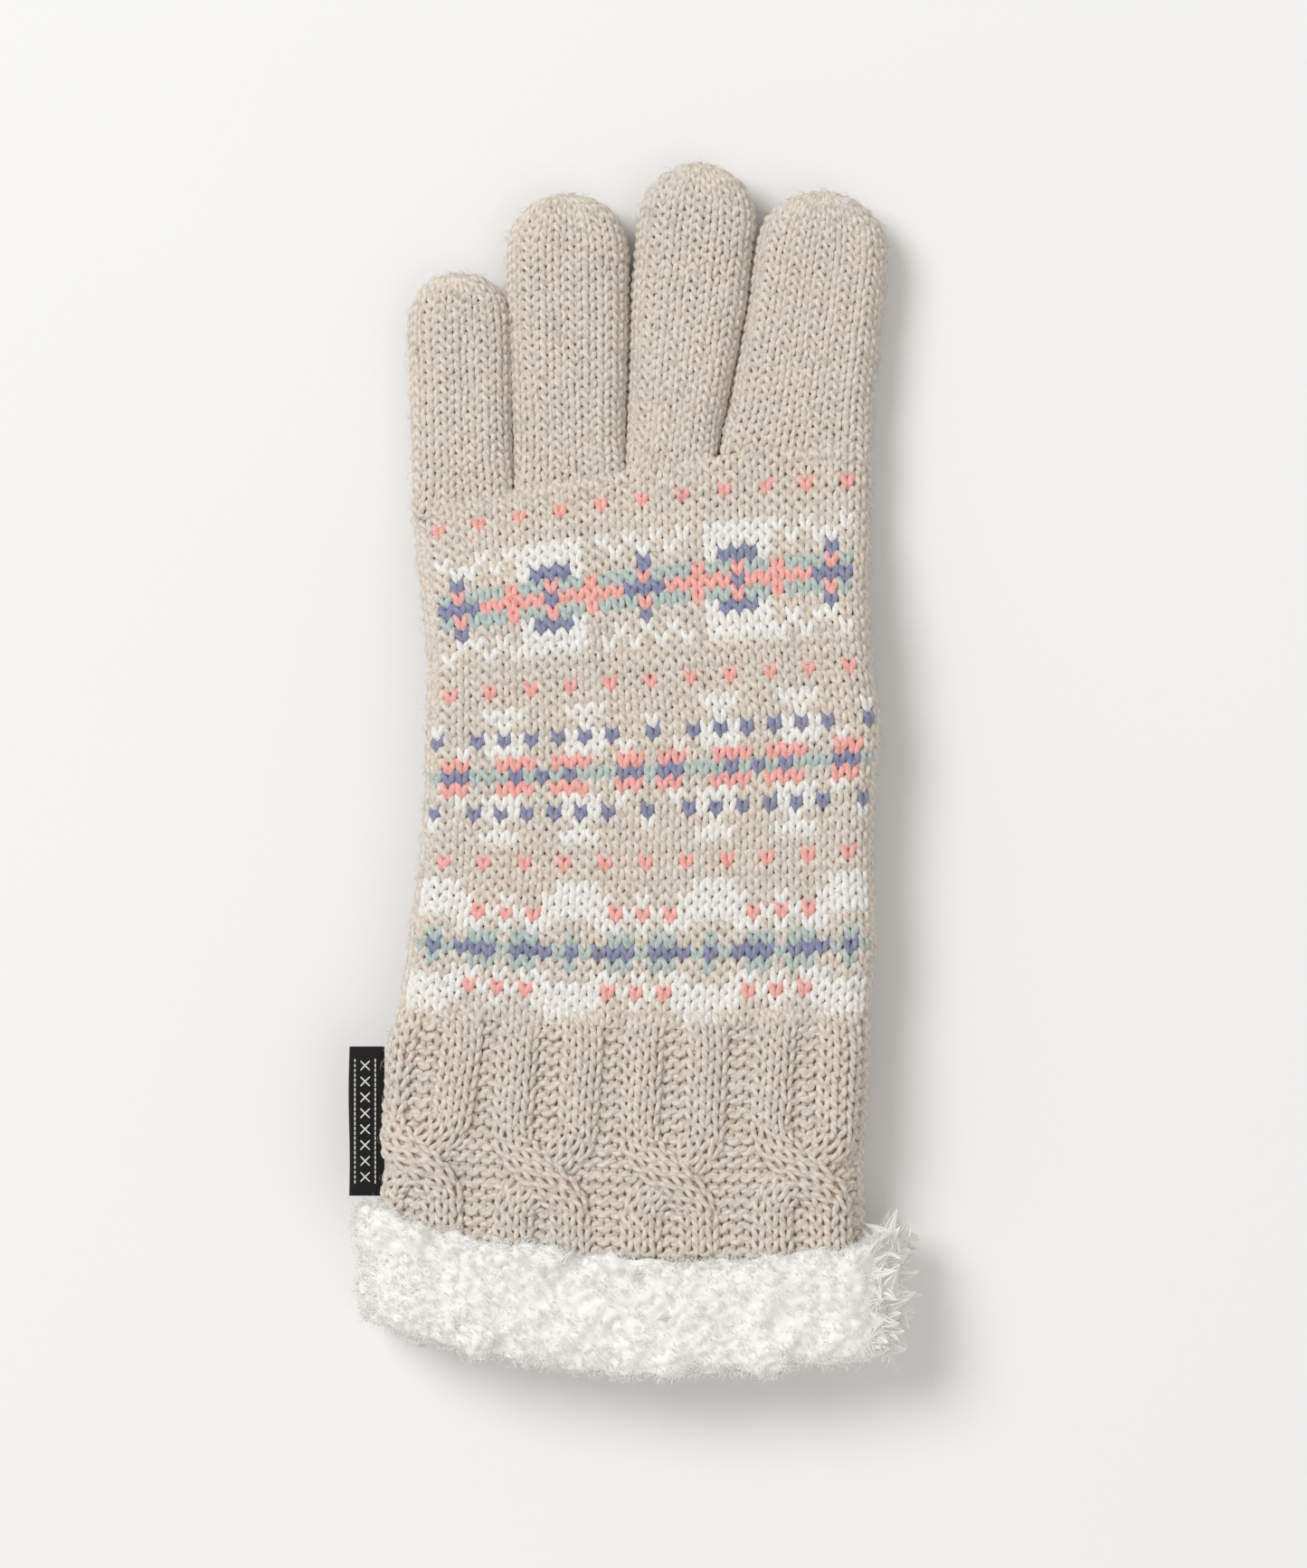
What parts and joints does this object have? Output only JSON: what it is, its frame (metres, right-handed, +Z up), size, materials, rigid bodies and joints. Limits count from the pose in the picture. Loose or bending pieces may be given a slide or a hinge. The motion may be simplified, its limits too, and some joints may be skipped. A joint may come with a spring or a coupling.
{
  "type": "knitted glove",
  "caption": "Knitted five-finger glove with a patterned back of the hand, a cable-knit cuff, a fluffy fleece trim and a folded side label.",
  "frame": {"origin": "on the surface the glove lies on, under the middle of its bounding box", "axes": "+Y from the cuff to the fingertips, +X from the little finger to the index finger, +Z up out of the back of the hand"},
  "size_m": [0.116, 0.25, 0.028],
  "materials": {
    "knit_cotton": "soft brushed knit",
    "fleece": "fluffy pile",
    "label_weave": "satin weave",
    "sewing_thread": "matt thread"
  },
  "bodies": {
    "hand": {"back_of_hand": "knit_cotton", "palm_panel": "knit_cotton", "thumb_collar": "knit_cotton", "hand_outer_seam": "sewing_thread", "hand_inner_seam": "sewing_thread", "little_finger_root": "knit_cotton", "ring_finger_root": "knit_cotton", "middle_finger_root": "knit_cotton", "index_finger_root": "knit_cotton"},
    "little_base": {"little_finger_base": "knit_cotton"},
    "little_tip": {"little_fingertip": "knit_cotton"},
    "ring_base": {"ring_finger_base": "knit_cotton"},
    "ring_tip": {"ring_fingertip": "knit_cotton"},
    "middle_base": {"middle_finger_base": "knit_cotton"},
    "middle_tip": {"middle_fingertip": "knit_cotton"},
    "index_base": {"index_finger_base": "knit_cotton"},
    "index_tip": {"index_fingertip": "knit_cotton"},
    "thumb_base": {"thumb_base": "knit_cotton"},
    "thumb_tip": {"thumb_tip": "knit_cotton"},
    "cuff": {"cuff_back": "knit_cotton", "cuff_palm": "knit_cotton", "cuff_outer_seam": "sewing_thread", "cuff_inner_seam": "sewing_thread", "fleece_trim": "fleece", "fleece_lining": "fleece", "hem_stitching": "sewing_thread"},
    "label": {"woven_label": "label_weave"}
  },
  "joints": [
    {"name": "little_knuckle", "type": "hinge", "parent": "hand", "child": "little_base", "pos_m": [-0.03488, 0.066, 0.00635], "axis": [-0.9996, -0.0279, 0], "range_deg": [0, 80]},
    {"name": "little_middle_joint", "type": "hinge", "parent": "little_base", "child": "little_tip", "pos_m": [-0.03538, 0.08399, 0.00635], "axis": [-0.9996, -0.0279, 0], "range_deg": [0, 80]},
    {"name": "ring_knuckle", "type": "hinge", "parent": "hand", "child": "ring_base", "pos_m": [-0.01285, 0.067, 0.00635], "axis": [-1, -0.0087, 0], "range_deg": [0, 80]},
    {"name": "ring_middle_joint", "type": "hinge", "parent": "ring_base", "child": "ring_tip", "pos_m": [-0.01308, 0.094, 0.00635], "axis": [-1, -0.0087, 0], "range_deg": [0, 80]},
    {"name": "middle_knuckle", "type": "hinge", "parent": "hand", "child": "middle_base", "pos_m": [0.00964, 0.06994, 0.00635], "axis": [-0.9954, 0.0958, 0], "range_deg": [0, 80]},
    {"name": "middle_middle_joint", "type": "hinge", "parent": "middle_base", "child": "middle_tip", "pos_m": [0.01238, 0.0984, 0.00635], "axis": [-0.9954, 0.0958, 0], "range_deg": [0, 80]},
    {"name": "index_knuckle", "type": "hinge", "parent": "hand", "child": "index_base", "pos_m": [0.03531, 0.07187, 0.00635], "axis": [-0.9921, 0.1253, 0], "range_deg": [0, 80]},
    {"name": "index_middle_joint", "type": "hinge", "parent": "index_base", "child": "index_tip", "pos_m": [0.03838, 0.09618, 0.00635], "axis": [-0.9921, 0.1253, 0], "range_deg": [0, 80]},
    {"name": "thumb_swing", "type": "hinge", "parent": "hand", "child": "thumb_base", "pos_m": [0.033, -0.024, 0.0044], "axis": [0, 0, -1], "range_deg": [0, 75]},
    {"name": "thumb_bend", "type": "hinge", "parent": "thumb_base", "child": "thumb_tip", "pos_m": [0.01894, 0.00136, 0.003], "axis": [-0.8746, -0.4848, 0], "range_deg": [0, 70]},
    {"name": "wrist", "type": "hinge", "parent": "hand", "child": "cuff", "pos_m": [0, -0.054, 0.01485], "axis": [1, 0, 0], "range_deg": [-50, 50]},
    {"name": "label_flap", "type": "hinge", "parent": "cuff", "child": "label", "pos_m": [-0.0505, -0.072, 0.01443], "axis": [0, 1, 0], "range_deg": [-70, 70]}
  ]
}
